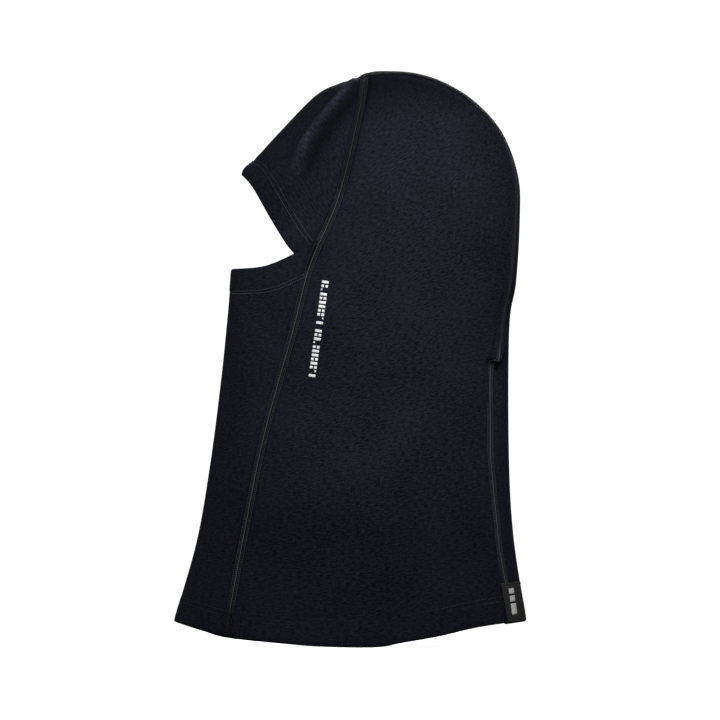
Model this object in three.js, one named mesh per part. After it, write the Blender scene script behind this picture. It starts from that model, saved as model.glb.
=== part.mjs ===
// A hinged knit balaclava, opened out as if on an unseen head. Millimetres, +Z up.
// The face looks along -Y, the wearer's left is +X, and X = 0 is the plane of symmetry.
// The origin is under the middle of the garment, at the level of the lowest point of the hem.
import * as THREE from "three";

// ---------------------------------------------------------------- driving dimensions
const HEIGHT = 368; // lowest point of the hem to the crown
const HEAD_HALF_WIDTH = 56;
const DOME_BASE = 285; // level above which the hood closes over as a dome
const FABRIC = 1.2; // one layer of knit
const FOLDED = 2.4; // a turned hem, two layers
const HEM_DEPTH = 13; // edge of a hem to its first row of stitches
const NEEDLE_GAUGE = 2.9; // between the two rows of a coverstitch
const ROW_WIDTH = 0.9; // one row of needle thread
const SEAM_WIDTH = 5.6; // flatlock seam
const THREAD = 0.4; // height of the stitching
const STAND_OUT = 0.7; // space between the knit and the stitching on its outside
const STAND_IN = 1; // and on its inside
const HEM_SLACK = 0.2; // more of it under the hems of the mask and the brow
const SEAM_GAP = 0.5; // how far a panel's edge stays back from the middle of its seam
const BROW_OVERLAP = 17; // length of seam along which the brow panel lies behind the mask panel
const BROW_SEAM = 16; // length of seam beside the brow panel, above that
const MASK_SEAM = 18; // length of seam at the side of the mask panel
const FOLD_GAP = 1; // between the two parts of a panel that folds
const BROW_TUCK = 3.4; // how deep the brow panel dips where it passes under a seam
const MASK_TUCK = 6; // and the mask panel
const TUCK_REACH = 14; // how far from the edge the dip has faded out
const CORNER_TUCK = 10; // dip of the brow panel behind the mask panel's corner
const CORNER_FLAT = 9;
const CORNER_REACH = 44;

const flat = (y, z) => new THREE.Vector2(y, z);

// ---------------------------------------------------------------- side outline, as (y, z)
const HEM_FRONT = flat(-112.8, 16.5);
const HEM_BACK = flat(113, 17.5);
const MASK_TIP = flat(-76, 240.7);
const BROW_TIP = flat(-69.3, 302);
const CROWN = flat(21, HEIGHT);
const CROWN_SEAM = flat(10, 366.4);
const TOP_CENTRE = flat(7.6, 365.2); // where the brow panel ends, just in front of the crown seam
const THROAT = flat(-82.6, 170); // where the mask folds away from the neck, on the front
const FOREHEAD = flat(-22, 352.3); // where the brow folds away from the crown

const FRONT_OUTLINE = [
  flat(-117.5, 0), HEM_FRONT, flat(-98.4, 66), flat(-89.6, 116), THROAT, flat(-78.3, 212), MASK_TIP,
  flat(-74, 275),
  BROW_TIP, flat(-61, 311.3), flat(-45.5, 328.4), FOREHEAD, flat(-6.5, 360.2), flat(2, 362.3), CROWN_SEAM,
];
const BACK_OUTLINE = [
  flat(42, 366.6), flat(62, 359.9), flat(81, 346.9), flat(97, 327.3), flat(107.2, 300), flat(108.7, 272),
  flat(106.4, 233), flat(102, 203), flat(101.7, 125), flat(104.7, 70), HEM_BACK, flat(117, 0),
];
const outline = new THREE.SplineCurve([...FRONT_OUTLINE, CROWN, ...BACK_OUTLINE]).getPoints(1200);
const crownIndex = outline.reduce((best, p, i) => (p.y > outline[best].y ? i : best), 0);
const frontBranch = outline.slice(0, crownIndex + 1);
const backBranch = outline.slice(crownIndex).reverse();
const topLevel = outline[crownIndex].y;

// The y at which a branch, listed upwards, reaches level z.
function branchAt(branch, z) {
  const level = Math.min(Math.max(z, branch[0].y), topLevel);
  let low = 0;
  let high = branch.length - 1;
  while (high - low > 1) {
    const middle = (low + high) >> 1;
    if (branch[middle].y <= level) low = middle;
    else high = middle;
  }
  const a = branch[low];
  const b = branch[high];
  return a.x + ((b.x - a.x) * (level - a.y)) / Math.max(b.y - a.y, 1e-6);
}

// ---------------------------------------------------------------- seams and edges, as (y, z)
const HEM = new THREE.SplineCurve([
  flat(-125, 20), HEM_FRONT, flat(-94, 9.8), flat(-78.7, 5.1), flat(-46, 1.8), flat(-18, -0.3),
  flat(16, -0.4),
  flat(34, 2.4), flat(58, 6.8), flat(82, 12.2), HEM_BACK, flat(125, 19),
]).getPoints(300);

// Level at y of a curve given as points in the order of y, or of its nearer end beyond them.
function levelOn(points, y) {
  if (y <= points[0].x) return points[0].y;
  const i = points.findIndex((p) => p.x >= y);
  if (i < 0) return points[points.length - 1].y;
  const a = points[i - 1];
  const b = points[i];
  return a.y + ((b.y - a.y) * (y - a.x)) / (b.x - a.x);
}

// The bottom hem, which stands flat on the ground where it is lowest.
const hemLevel = (y) => Math.max(0, levelOn(HEM, y));

const FRONT_SEAM = new THREE.SplineCurve([
  flat(-78.7, hemLevel(-78.7)), flat(-68.5, 68), flat(-57, 128), flat(-37.2, 201), flat(-26.3, 244),
  flat(-8.3, 285.5), flat(5, 338), flat(9.4, 364.2),
]);
// Share of the front seam's length, from the hem, at which it reaches level z.
function frontSeamShare(z) {
  let low = 0;
  let high = 1;
  for (let i = 0; i < 40; i++) {
    const middle = (low + high) / 2;
    if (FRONT_SEAM.getPointAt(middle).y < z) low = middle;
    else high = middle;
  }
  return low;
}

const seamLength = FRONT_SEAM.getLength();
const cornerShare = frontSeamShare(261); // the mask's top edge meets the seam here
const maskShare = cornerShare - MASK_SEAM / seamLength;
const browShare = cornerShare - BROW_OVERLAP / seamLength;
const foldShare = cornerShare + BROW_SEAM / seamLength;
const CORNER = FRONT_SEAM.getPointAt(cornerShare);
const BROW_EDGE = new THREE.SplineCurve([
  BROW_TIP, flat(-62, 292.6), flat(-48.3, 269), flat(-37.5, 252), FRONT_SEAM.getPointAt(browShare),
]);
const MASK_EDGE = new THREE.SplineCurve([MASK_TIP, flat(-56, 243), flat(-38.4, 250.4), CORNER]);
const MASK_FOLD = new THREE.LineCurve(THROAT, FRONT_SEAM.getPointAt(maskShare));
const BROW_FOLD = new THREE.LineCurve(FOREHEAD, FRONT_SEAM.getPointAt(foldShare));

// ---------------------------------------------------------------- the surface of the garment
const clamp01 = (x) => Math.min(Math.max(x, 0), 1);
const ease = (x) => clamp01(x) ** 2 * (3 - 2 * clamp01(x));
const mix = (a, b, t) => a + (b - a) * t;

// Half the width of the garment at a level: the flared hem, the neck, and the hood's dome.
const WIDTHS = [
  [-5, 54], [20, 52], [70, 48.5], [150, 46], [215, 51], [DOME_BASE, HEAD_HALF_WIDTH],
  [DOME_BASE + 60, HEAD_HALF_WIDTH],
];
function halfWidth(z) {
  if (z > DOME_BASE) {
    return HEAD_HALF_WIDTH * Math.sqrt(Math.max(0, 1 - ((z - DOME_BASE) / (topLevel - DOME_BASE)) ** 2));
  }
  const i = Math.max(1, WIDTHS.findIndex(([level]) => level >= z));
  const [z0, w0] = WIDTHS[i - 1];
  const [z1, w1] = WIDTHS[i];
  return mix(w0, w1, ease((z - z0) / (z1 - z0)));
}

// Each level is an ellipse from the front of the outline to its back.
const THINNEST = 1e-3;
function level(z) {
  const front = branchAt(frontBranch, z);
  const back = branchAt(backBranch, z);
  return {
    middle: (front + back) / 2,
    half: Math.max((back - front) / 2, THINNEST),
    width: Math.max(halfWidth(z), THINNEST),
  };
}

// The ellipse's angle at a point of the side view: 0 at the front, PI at the back.
function angleAt(p) {
  const { middle, half } = level(p.y);
  return Math.acos(Math.min(Math.max((middle - p.x) / half, -1), 1));
}

const inside = (x, y, z) => {
  const { middle, half, width } = level(z);
  return (x / width) ** 2 + ((y - middle) / half) ** 2;
};

// The point of the wearer's left side over a point of the side view, with its outward normal.
function surface(p) {
  const z = Math.min(p.y, topLevel);
  const x = level(z).width * Math.sin(angleAt(flat(p.x, z)));
  const below = Math.min(z, topLevel - 0.4);
  const step = 0.2;
  const slope = (inside(x, p.x, below + step) - inside(x, p.x, below - step)) / (2 * step);
  const { middle, half, width } = level(below);
  const normal = new THREE.Vector3((2 * x) / width ** 2, (2 * (p.x - middle)) / half ** 2, slope);
  if (z > topLevel - 0.3) normal.set(0, 0, 1);
  return { point: new THREE.Vector3(x, p.x, z), normal: normal.normalize(), side: p };
}

// Points along a stretch of the outline between two of its points, by share of length.
function outlineStretch(from, to) {
  const nearest = (p) => {
    const distances = outline.map((q) => q.distanceTo(p));
    return distances.indexOf(Math.min(...distances));
  };
  const [a, b] = [nearest(from), nearest(to)];
  const points = a < b ? outline.slice(a, b + 1) : outline.slice(b, a + 1).reverse();
  const lengths = [0];
  for (let i = 1; i < points.length; i++) {
    lengths.push(lengths[i - 1] + points[i].distanceTo(points[i - 1]));
  }
  const total = lengths[lengths.length - 1];
  return (share) => {
    const target = share * total;
    const i = Math.max(1, lengths.findIndex((l) => l >= target - 1e-9));
    const t = clamp01((target - lengths[i - 1]) / (lengths[i] - lengths[i - 1]));
    return points[i - 1].clone().lerp(points[i], t);
  };
}

// The back panel's half width, from the hem up the neck and over the crown, by share of its length.
const BACK_WIDTHS = [
  [0, 21.4], [0.1, 20.2], [0.18, 21.2], [0.39, 22], [0.44, 17.5], [0.58, 14.9], [0.64, 13.4], [0.72, 12.6],
  [1, 11.3],
];
function backHalfWidth(share) {
  const i = Math.max(1, BACK_WIDTHS.findIndex(([s]) => s >= share));
  const [s0, w0] = BACK_WIDTHS[i - 1];
  const [s1, w1] = BACK_WIDTHS[i];
  return mix(w0, w1, (share - s0) / (s1 - s0));
}

// The back seam runs over the surface at that distance from the middle of the back.
const backMiddle = outlineStretch(HEM_BACK, flat(TOP_CENTRE.x + 2, 366.2));
function backSeamPoint(share) {
  const on = backMiddle(share);
  const ahead = backMiddle(Math.min(share + 0.01, 1));
  const behind = backMiddle(Math.max(share - 0.01, 0));
  const inward = ahead.sub(behind).normalize();
  const target = backHalfWidth(share);
  let near = 0;
  let far = 40;
  for (let i = 0; i < 30; i++) {
    const depth = (near + far) / 2;
    const p = flat(on.x - inward.y * depth, on.y + inward.x * depth);
    if (surface(p).point.x < target) near = depth;
    else far = depth;
  }
  return flat(on.x - inward.y * near, on.y + inward.x * near);
}
const backSeamPoints = Array.from({ length: 15 }, (_, i) => backSeamPoint(i / 14));
backSeamPoints[0].y = hemLevel(backSeamPoints[0].x);
backSeamPoints[14].copy(FRONT_SEAM.getPoint(1));
const BACK_SEAM = new THREE.SplineCurve(backSeamPoints);

const mirrored = ({ point, normal, side }) => ({
  point: new THREE.Vector3(-point.x, point.y, point.z),
  normal: new THREE.Vector3(-normal.x, normal.y, normal.z),
  side,
});

// ---------------------------------------------------------------- solids from rows of surface points
const raised = ({ point, normal }, height) => point.clone().addScaledVector(normal, height);

// A closed mesh from vertices and triangles, turned so that its faces point out.
function closedGeometry(vertices, triangles) {
  let volume = 0;
  for (const [a, b, c] of triangles) {
    volume += vertices[a].dot(new THREE.Vector3().crossVectors(vertices[b], vertices[c]));
  }
  const index = triangles.flatMap(([a, b, c]) => (volume < 0 ? [a, c, b] : [a, b, c]));
  const geometry = new THREE.BufferGeometry().setFromPoints(vertices);
  geometry.setIndex(index);
  geometry.computeVertexNormals();
  return geometry;
}

// A sheet of knit: rows of surface points, made solid inwards. dip lowers the outer face.
function sheet(rows, thickness, dip = () => 0) {
  const across = rows[0].length;
  const vertices = [];
  for (const row of rows) for (const s of row) vertices.push(raised(s, -dip(s.side)));
  for (const row of rows) for (const s of row) vertices.push(raised(s, -dip(s.side) - thickness(s.side)));
  const under = rows.length * across;
  const triangles = [];
  const quad = (a, b, c, d) => triangles.push([a, b, c], [a, c, d]);
  for (let i = 0; i + 1 < rows.length; i++) {
    for (let j = 0; j + 1 < across; j++) {
      const a = i * across + j;
      quad(a, a + 1, a + across + 1, a + across);
      quad(under + a, under + a + across, under + a + across + 1, under + a + 1);
    }
  }
  const rim = [];
  for (let j = 0; j + 1 < across; j++) rim.push(j);
  for (let i = 0; i + 1 < rows.length; i++) rim.push(i * across + across - 1);
  for (let j = across - 1; j > 0; j--) rim.push((rows.length - 1) * across + j);
  for (let i = rows.length - 1; i > 0; i--) rim.push(i * across);
  rim.forEach((a, k) => {
    const b = rim[(k + 1) % rim.length];
    quad(b, a, under + a, under + b);
  });
  return closedGeometry(vertices, triangles);
}

// A band of stitching along a path of surface points, from height low to height high over the knit.
function band(path, width, low, high, closed = false) {
  const vertices = [];
  path.forEach((s, i) => {
    const before = path[closed ? (i - 1 + path.length) % path.length : Math.max(i - 1, 0)].point;
    const after = path[closed ? (i + 1) % path.length : Math.min(i + 1, path.length - 1)].point;
    const along = new THREE.Vector3().subVectors(after, before).normalize();
    const across = new THREE.Vector3().crossVectors(along, s.normal).normalize().multiplyScalar(width / 2);
    for (const [side, height] of [[1, low], [1, high], [-1, high], [-1, low]]) {
      const rise = typeof height === "function" ? height(s) : height;
      vertices.push(raised(s, rise).addScaledVector(across, side));
    }
  });
  const triangles = [];
  const rings = path.length;
  for (let i = 0; i < (closed ? rings : rings - 1); i++) {
    for (let k = 0; k < 4; k++) {
      const a = i * 4 + k;
      const b = i * 4 + ((k + 1) % 4);
      const c = ((i + 1) % rings) * 4 + ((k + 1) % 4);
      const d = ((i + 1) % rings) * 4 + k;
      triangles.push([a, b, c], [a, c, d]);
    }
  }
  if (!closed) {
    const last = (rings - 1) * 4;
    triangles.push([0, 2, 1], [0, 3, 2], [last, last + 1, last + 2], [last, last + 2, last + 3]);
  }
  return closedGeometry(vertices, triangles);
}

// Points of a straight section of the side view, spaced evenly round the ellipse.
// Its end may lie on the outline.
function section(start, end, count, bend = () => 0, startAngle = angleAt(start), endAngle = angleAt(end)) {
  const points = [];
  for (let j = 0; j <= count; j++) {
    const angle = mix(startAngle, endAngle, j / count);
    const share = (Math.cos(startAngle) - Math.cos(angle)) / (Math.cos(startAngle) - Math.cos(endAngle));
    const y = mix(start.x, end.x, share);
    points.push(surface(flat(y, mix(start.y, end.y, share) + bend(y, share))));
  }
  return points;
}

// A row right across the garment, from the wearer's left seam over the outline to the right seam.
function across(half) {
  return [...half, ...half.slice(0, -1).reverse().map(mirrored)];
}

// ---------------------------------------------------------------- panels
const distanceTo = (samples) => (p) => Math.min(...samples.map((s) => s.distanceTo(p)));
const toFrontSeam = distanceTo(FRONT_SEAM.getPoints(90));
const toMaskFold = distanceTo(MASK_FOLD.getPoints(60));
const toBrowFold = distanceTo(BROW_FOLD.getPoints(60));
const toBrowEdge = distanceTo(BROW_EDGE.getPoints(60));
const toMaskEdge = distanceTo(MASK_EDGE.getPoints(60));
const hemmed = (distance) => (p) => mix(FOLDED, FABRIC, ease((distance(p) - HEM_DEPTH - NEEDLE_GAUGE) / 4));
const bottomHem = hemmed((p) => p.y - hemLevel(p.x));

const tuck = (depth, distance) => depth * (1 - ease(distance / TUCK_REACH));
const maskDip = (p) => tuck(MASK_TUCK, Math.min(toFrontSeam(p), toMaskFold(p)));
const browDip = (p) => {
  const corner = 1 - ease((p.distanceTo(CORNER) - CORNER_FLAT) / (CORNER_REACH - CORNER_FLAT));
  return Math.max(tuck(BROW_TUCK, Math.min(toFrontSeam(p), toBrowFold(p))), CORNER_TUCK * corner);
};

// A bend that carries a straight section down to the curved hem, fading out over the first rows.
function hemBend(start, end, rise) {
  const strength = (1 - clamp01(rise / 0.3)) ** 2;
  return (y, share) => strength * (hemLevel(y) - mix(hemLevel(start.x), hemLevel(end.x), share));
}

// The hem's turned edge is cut square, so its rim lies flat.
function squareHem(rows) {
  rows[0].forEach((s) => s.normal.setZ(0).normalize());
  return rows;
}

const LONG_ROWS = 26; // rows of the panels that run from the hem to the crown
const SEAM_TOP = 0.993; // share of each seam's length at which the panels stop short of the crown
function sidePanel() {
  const rows = [];
  for (let i = 0; i <= LONG_ROWS; i++) {
    const rise = i / LONG_ROWS;
    const start = FRONT_SEAM.getPointAt(rise * SEAM_TOP);
    const end = BACK_SEAM.getPointAt(rise * SEAM_TOP);
    const row = section(start, end, 16, hemBend(start, end, rise));
    rows.push(trimmed(row, SEAM_GAP, SEAM_GAP));
  }
  return squareHem(rows);
}

// Moves the ends of a row inwards, along the row, so that a gap is left at each seam.
function trimmed(row, startGap, endGap) {
  const result = [...row];
  const pull = (from, to, gap) => {
    const length = from.point.distanceTo(to.point);
    const share = Math.min(gap / length, 0.6);
    return {
      point: from.point.clone().lerp(to.point, share),
      normal: from.normal.clone().lerp(to.normal, share).normalize(),
      side: from.side.clone().lerp(to.side, share),
    };
  };
  result[0] = pull(row[0], row[1], startGap);
  const last = row.length - 1;
  if (endGap) result[last] = pull(row[last], row[last - 1], endGap);
  return result;
}

// A panel on the front or back centre: its rows run from the left seam over the outline to the right seam.
function centrePanel(rowCount, columns, seamPoint, outlinePoint, outlineAngle, bend, gap) {
  const rows = [];
  for (let i = 0; i <= rowCount; i++) {
    const rise = i / rowCount;
    const start = seamPoint(rise);
    const end = outlinePoint(rise);
    const half = section(start, end, columns, bend(start, end, rise), angleAt(start), outlineAngle);
    rows.push(across(trimmed(half, gap, 0)));
  }
  return rows;
}

// How far an edge curve stands off the straight line between its ends, faded out over the rows.
function edgeBend(edge, atRise, fade) {
  const samples = edge.getPoints(80);
  const tip = samples[0];
  const corner = samples[samples.length - 1];
  return (start, end, rise) => {
    const strength = Math.max(0, 1 - Math.abs(rise - atRise) / fade);
    return (y, share) => {
      const level = levelOn(samples, mix(corner.x, tip.x, share));
      return strength * (level - mix(corner.y, tip.y, share));
    };
  };
}

const seamStretch = (from, to) => (rise) => FRONT_SEAM.getPointAt(mix(from, to, rise));
const straight = () => () => 0;
const foldGap = FOLD_GAP / seamLength;
const above = (p, distance) => flat(p.x + distance * 0.8, p.y + distance * 0.6);

const browPanel = centrePanel(
  8, 11, seamStretch(browShare, foldShare), outlineStretch(BROW_TIP, FOREHEAD), 0,
  edgeBend(BROW_EDGE, 0, 1), SEAM_GAP,
);
const crownPanel = centrePanel(
  6, 9, seamStretch(foldShare + foldGap, SEAM_TOP), outlineStretch(above(FOREHEAD, FOLD_GAP), TOP_CENTRE),
  0, straight, SEAM_GAP,
);
const maskPanel = centrePanel(
  7, 11, seamStretch(maskShare, cornerShare), outlineStretch(THROAT, MASK_TIP), 0,
  edgeBend(MASK_EDGE, 1, 1), SEAM_GAP,
);
const throatTop = flat(THROAT.x, THROAT.y - FOLD_GAP);
const throatPanel = squareHem(centrePanel(
  10, 11, seamStretch(0, maskShare - foldGap), outlineStretch(HEM_FRONT, throatTop), 0, hemBend, SEAM_GAP,
));
const BACK_TOP = flat(11, 366.5);
const backPanel = squareHem(centrePanel(
  LONG_ROWS, 5, (rise) => BACK_SEAM.getPointAt(rise * SEAM_TOP), outlineStretch(HEM_BACK, BACK_TOP),
  Math.PI, hemBend, SEAM_GAP,
));

// ---------------------------------------------------------------- stitching
const OUTER = [STAND_OUT, STAND_OUT + THREAD];
const INNER = [-FABRIC - STAND_IN - THREAD, -FABRIC - STAND_IN];
const INNER_HEM = [-FOLDED - STAND_IN - THREAD, -FOLDED - STAND_IN];

const seamPath = (curve, from, to, count) =>
  Array.from({ length: count + 1 }, (_, i) => surface(curve.getPointAt(mix(from, to, i / count))));

// The seam over the crown, between the tops of the two front seams.
function crownPath() {
  const start = FRONT_SEAM.getPointAt(0.995);
  const end = flat(CROWN_SEAM.x - 0.6, CROWN_SEAM.y - 0.4);
  return across(section(start, end, 3, () => 0, angleAt(start), 0));
}

// Surface points at even angles whose levels follow a rule of y, found by closing in on the level.
function ring(levelAt, fromAngle, toAngle, count) {
  const points = [];
  for (let i = 0; i <= count; i++) {
    const angle = mix(fromAngle, toAngle, i / count);
    let p = flat(0, levelAt(0));
    for (let pass = 0; pass < 24; pass++) {
      const { middle, half } = level(p.y);
      const y = middle - half * Math.cos(angle);
      p = flat(y, mix(p.y, levelAt(y), 0.5));
    }
    points.push(surface(p));
  }
  return points;
}

// A row of hem stitching on a moving panel: its edge, moved into the panel, up to the seam's stitching.
function panelRow(edge, shift, startShare, dip) {
  const samples = edge.getPoints(80).map((p) => p.clone().add(shift));
  const start = edge.getPointAt(startShare).add(shift);
  const half = ring((y) => levelOn(samples, y), angleAt(start), 0, 12);
  return across(half).map((s) => ({ ...s, point: raised(s, -dip(s.side)) }));
}
const browRow = (depth) => panelRow(BROW_EDGE, flat(0.84, 0.54).multiplyScalar(depth), 0.62, browDip);
const maskRow = (depth) => panelRow(MASK_EDGE, flat(0, -depth), 0.7, maskDip);

// A row of the bottom hem goes right round, and steps over the seams' stitching.
function bottomRow(depth) {
  const half = ring((y) => hemLevel(y) + depth, 0, Math.PI, 30);
  return [...half, ...half.slice(1, -1).reverse().map(mirrored)];
}
const toSeams = distanceTo([...FRONT_SEAM.getPoints(200), ...BACK_SEAM.getPoints(240)]);
const stepOver = (height) => (s) => height + 0.7 * (1 - ease((toSeams(s.side) - 4) / 6));

// ---------------------------------------------------------------- labels and print
// The frame of a label: its origin, and its directions across, up and out of the knit.
function labelFrame(p, lean) {
  const s = surface(p);
  const up = new THREE.Vector3(0, lean, 1);
  up.addScaledVector(s.normal, -up.dot(s.normal)).normalize();
  const across = new THREE.Vector3().crossVectors(up, s.normal).normalize();
  return new THREE.Matrix4().makeBasis(across, up, s.normal).setPosition(s.point);
}

// The hem label: a ribbon folded round the hem edge, drawn as a U and extruded across its width.
const TAB = { width: 17, above: 23, below: 3.4, ribbon: 0.5, outside: 2.1, inside: 5.3 };
function hemTab() {
  const { above, below, ribbon, outside, inside: inner } = TAB;
  const profile = new THREE.Shape();
  profile.moveTo(outside, above);
  profile.lineTo(outside, -below + ribbon);
  profile.lineTo(-inner, -below + ribbon);
  profile.lineTo(-inner, above - 3);
  profile.lineTo(-inner - ribbon, above - 3);
  profile.lineTo(-inner - ribbon, -below + 0.4);
  profile.lineTo(-inner, -below);
  profile.lineTo(outside, -below);
  profile.lineTo(outside + ribbon, -below + 0.4);
  profile.lineTo(outside + ribbon, above);
  profile.closePath();
  const geometry = new THREE.ExtrudeGeometry(profile, { depth: TAB.width, bevelEnabled: false });
  geometry.translate(0, 0, -TAB.width / 2);
  geometry.applyMatrix4(new THREE.Matrix4().makeBasis(
    new THREE.Vector3(0, 0, 1), new THREE.Vector3(0, 1, 0), new THREE.Vector3(-1, 0, 0),
  ));
  return geometry;
}

// A row of stitches holding the label's top edge.
function tabStitch() {
  const geometry = new THREE.BoxGeometry(TAB.width - 2, 0.5, 0.3);
  geometry.translate(0, TAB.above - 2, TAB.outside + TAB.ribbon + 0.35);
  return geometry;
}

// The care label inside: a folded ribbon lying along the left side panel, sewn at the back seam.
const CARE = { length: 34, height: 22, ribbon: 0.5, seamShare: 0.17, clearance: 4.4, sewn: 1.2 };
function careLabel() {
  const geometry = new THREE.BoxGeometry(CARE.length, CARE.height, CARE.ribbon);
  return geometry.translate(-CARE.length / 2 - CARE.sewn, 0, 0);
}

// The bar of stitches that ties the care label's edge to the seam behind it.
function careStitch() {
  return new THREE.BoxGeometry(0.8, CARE.height - 2, 1.6).translate(0, 0, 0.3);
}

// The care label stands upright, its free end forward along the left side panel.
function carePlace() {
  const seat = BACK_SEAM.getPointAt(CARE.seamShare);
  const hinge = surface(seat);
  const forward = surface(flat(seat.x - CARE.length * 0.87, seat.y));
  const along = new THREE.Vector3().subVectors(hinge.point, forward.point).setZ(0).normalize();
  const up = new THREE.Vector3(0, 0, 1);
  const place = new THREE.Matrix4().makeBasis(along, up, new THREE.Vector3().crossVectors(along, up));
  return place.setPosition(raised(hinge, -CARE.clearance));
}

// A printed scale on the left side panel: a spine with ticks, every fifth one longer.
const SCALE = {
  top: flat(-16.4, 233), foot: flat(-26, 171), ticks: 25, tick: 2.3, long: 4.2, line: 0.6, ink: 0.15,
};
function printedScale() {
  const { top, foot, ticks, tick, long, line, ink } = SCALE;
  const length = surface(top).point.distanceTo(surface(foot).point);
  const columns = [0, line, tick, long];
  const rows = [];
  for (let i = 0; i < ticks; i++) {
    const edge = (i / (ticks - 1)) * length;
    rows.push(edge, edge + line);
  }
  // Even rows of cells are ticks and odd ones the gaps between them, where only the spine is inked.
  const inked = (row, column) => {
    if (row < 0 || row > rows.length - 2 || column < 0) return false;
    if (row % 2 === 1) return column < 1;
    return column < ((row / 2) % 5 === 0 ? 3 : 2);
  };
  const vertices = [];
  const known = new Map();
  const vertex = (row, column, height) => {
    const key = `${row} ${column} ${height}`;
    if (!known.has(key)) {
      const p = foot.clone().lerp(top, rows[row] / length);
      p.x += columns[column];
      known.set(key, vertices.push(raised(surface(p), STAND_OUT + 0.2 + height)) - 1);
    }
    return known.get(key);
  };
  const triangles = [];
  const quad = (a, b, c, d) => triangles.push([a, b, c], [a, c, d]);
  for (let r = 0; r + 1 < rows.length; r++) {
    for (let c = 0; c + 1 < columns.length; c++) {
      if (!inked(r, c)) continue;
      const corners = [[r, c], [r, c + 1], [r + 1, c + 1], [r + 1, c]];
      const neighbours = [[r - 1, c], [r, c + 1], [r + 1, c], [r, c - 1]];
      quad(...corners.map(([row, column]) => vertex(row, column, ink)));
      quad(...corners.map(([row, column]) => vertex(row, column, 0)).reverse());
      corners.forEach(([row, column], k) => {
        if (inked(...neighbours[k])) return;
        const [nextRow, nextColumn] = corners[(k + 1) % 4];
        quad(
          vertex(nextRow, nextColumn, ink), vertex(row, column, ink), vertex(row, column, 0),
          vertex(nextRow, nextColumn, 0),
        );
      });
    }
  }
  return closedGeometry(vertices, triangles);
}

// ---------------------------------------------------------------- assembly
const KNIT = new THREE.MeshStandardMaterial({ color: 0x15161c, roughness: 0.95, metalness: 0 });
const STITCHING = new THREE.MeshStandardMaterial({ color: 0x34343a, roughness: 0.7, metalness: 0 });
const RIBBON = new THREE.MeshStandardMaterial({ color: 0x1c1c1d, roughness: 0.6, metalness: 0 });
const SATIN = new THREE.MeshStandardMaterial({ color: 0xdcdcd8, roughness: 0.4, metalness: 0 });
const INK = new THREE.MeshStandardMaterial({ color: 0xf2f2f0, roughness: 0.5, metalness: 0 });

const balaclava = new THREE.Group();
function add(name, geometry, material, place) {
  const mesh = new THREE.Mesh(geometry, material);
  mesh.name = name;
  if (place) mesh.applyMatrix4(place);
  balaclava.add(mesh);
}

const left = sidePanel();
const mirroredRows = (rows) => rows.map((row) => row.map(mirrored));
add("side_panel_left", sheet(left, bottomHem), KNIT);
add("side_panel_right", sheet(mirroredRows(left), bottomHem), KNIT);
add("back_panel", sheet(backPanel, bottomHem), KNIT);
add("brow_panel", sheet(browPanel, hemmed(toBrowEdge), browDip), KNIT);
add("brow_panel_crown", sheet(crownPanel, () => FABRIC), KNIT);
add("mask_panel", sheet(maskPanel, hemmed(toMaskEdge), maskDip), KNIT);
add("throat_panel", sheet(throatPanel, bottomHem), KNIT);

// The hem is folded over the inside of the seams, so the inner thread starts above it.
const SEAMS = [
  ["front_seam", FRONT_SEAM, 0.98, 0.056, 0.955, 38],
  ["back_seam", BACK_SEAM, 0.955, 0.052, 0.955, 40],
];
for (const [name, curve, outerTop, innerFoot, innerTop, count] of SEAMS) {
  const outer = seamPath(curve, 0.001, outerTop, count);
  const inner = seamPath(curve, innerFoot, innerTop, count);
  add(`${name}_left_cover`, band(outer, SEAM_WIDTH, ...OUTER), STITCHING);
  add(`${name}_right_cover`, band(outer.map(mirrored), SEAM_WIDTH, ...OUTER), STITCHING);
  add(`${name}_left_looper`, band(inner, SEAM_WIDTH - 0.6, ...INNER), STITCHING);
  add(`${name}_right_looper`, band(inner.map(mirrored), SEAM_WIDTH - 0.6, ...INNER), STITCHING);
}
add("crown_seam_cover", band(crownPath(), SEAM_WIDTH, ...OUTER), STITCHING);
add("crown_seam_looper", band(crownPath(), SEAM_WIDTH - 0.6, ...INNER), STITCHING);

const SECOND_ROW = HEM_DEPTH + NEEDLE_GAUGE;
const looperRow = HEM_DEPTH + NEEDLE_GAUGE / 2;
const slackLooper = INNER_HEM.map((height) => height - HEM_SLACK);
for (const [name, row] of [["brow_hem", browRow], ["mask_hem", maskRow]]) {
  add(`${name}_needle_outer`, band(row(HEM_DEPTH), ROW_WIDTH, ...OUTER), STITCHING);
  add(`${name}_needle_inner`, band(row(SECOND_ROW), ROW_WIDTH, ...OUTER), STITCHING);
  add(`${name}_looper`, band(row(looperRow), NEEDLE_GAUGE, ...slackLooper), STITCHING);
}
const ringHeights = OUTER.map(stepOver);
add("bottom_hem_needle_lower", band(bottomRow(HEM_DEPTH), ROW_WIDTH, ...ringHeights, true), STITCHING);
add("bottom_hem_needle_upper", band(bottomRow(SECOND_ROW), ROW_WIDTH, ...ringHeights, true), STITCHING);
add("bottom_hem_looper", band(bottomRow(looperRow), NEEDLE_GAUGE, ...INNER_HEM, true), STITCHING);

const tabPlace = labelFrame(flat(103.5, hemLevel(103.5)), -0.18);
add("hem_tab", hemTab(), RIBBON, tabPlace);
add("hem_tab_stitch", tabStitch(), STITCHING, tabPlace);

add("care_label", careLabel(), SATIN, carePlace());
add("care_label_stitch", careStitch(), STITCHING, carePlace());
add("printed_scale", printedScale(), INK);

export default balaclava;
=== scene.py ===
"""The looks of a hinged knit balaclava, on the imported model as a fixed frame.

Lengths are worked out in millimetres above the middle of the hem, and turned into metres when a mesh is made.
The face looks along -Y and the wearer's left is +X. A place on the side view is a pair (y, z).
"""
import math

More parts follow.
